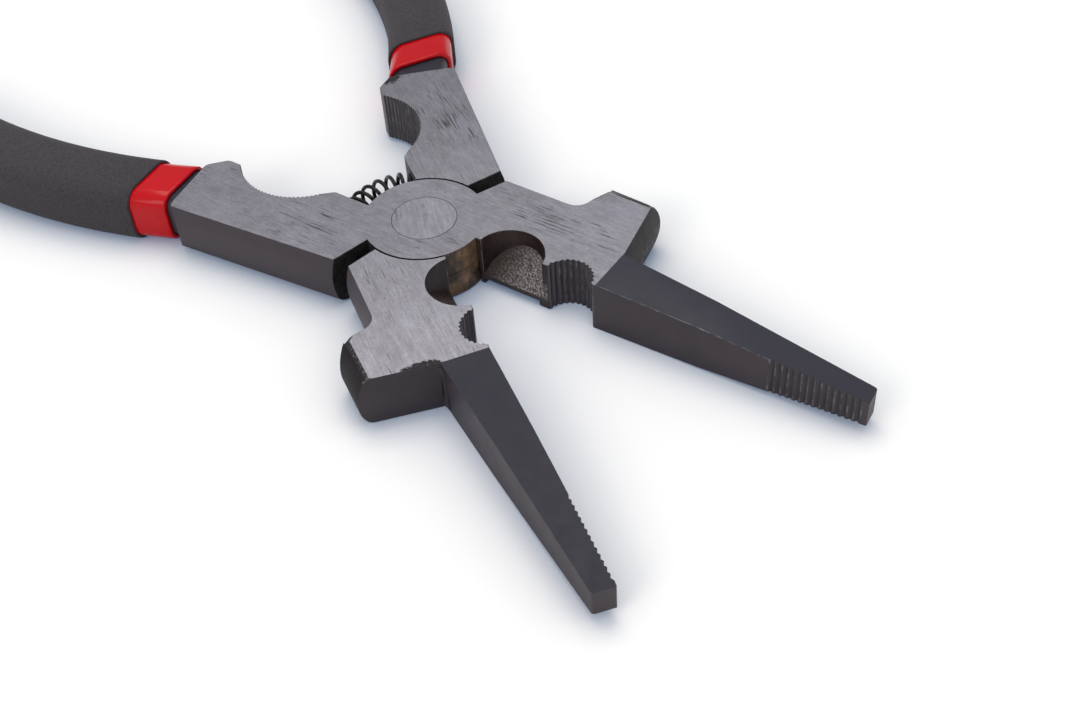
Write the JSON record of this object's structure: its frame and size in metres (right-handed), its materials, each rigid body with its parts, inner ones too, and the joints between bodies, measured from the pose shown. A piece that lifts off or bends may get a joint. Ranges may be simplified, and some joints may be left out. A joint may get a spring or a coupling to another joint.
{
  "type": "welding pliers",
  "caption": "Spring-return welding pliers: lap-jointed forged levers with a toothed needle nose, wire cutter, tip and nozzle bites, hammer lobes and foam-covered dipped handles.",
  "frame": {"origin": "where the pivot axis meets the underside of the head", "axes": "+Y towards the tips along the line midway between the levers, +Z along the pivot axis, out of the face that shows the upper lever's disc, +X towards the lower lever's jaw"},
  "size_m": [0.124, 0.1999, 0.012],
  "materials": {
    "forged_steel": "ground faces, black oxide elsewhere",
    "rivet_steel": "ground flush",
    "spring_steel": "black oxide",
    "red_vinyl": "glossy",
    "grey_foam": "matt foam"
  },
  "bodies": {
    "upper": {"upper_lever": "forged_steel", "pivot_rivet": "rivet_steel", "upper_sleeve": "red_vinyl", "upper_grip": "grey_foam", "return_spring": "spring_steel"},
    "lower": {"lower_lever": "forged_steel", "lower_sleeve": "red_vinyl", "lower_grip": "grey_foam"}
  },
  "joints": [
    {"name": "jaw_pivot", "type": "hinge", "parent": "upper", "child": "lower", "pos_m": [0, 0, 0.0051], "axis": [0, 0, 1], "range_deg": [-9.5, 34.4], "stiffness_Nm_per_rad": 0.8, "deforming": ["return_spring"]}
  ]
}
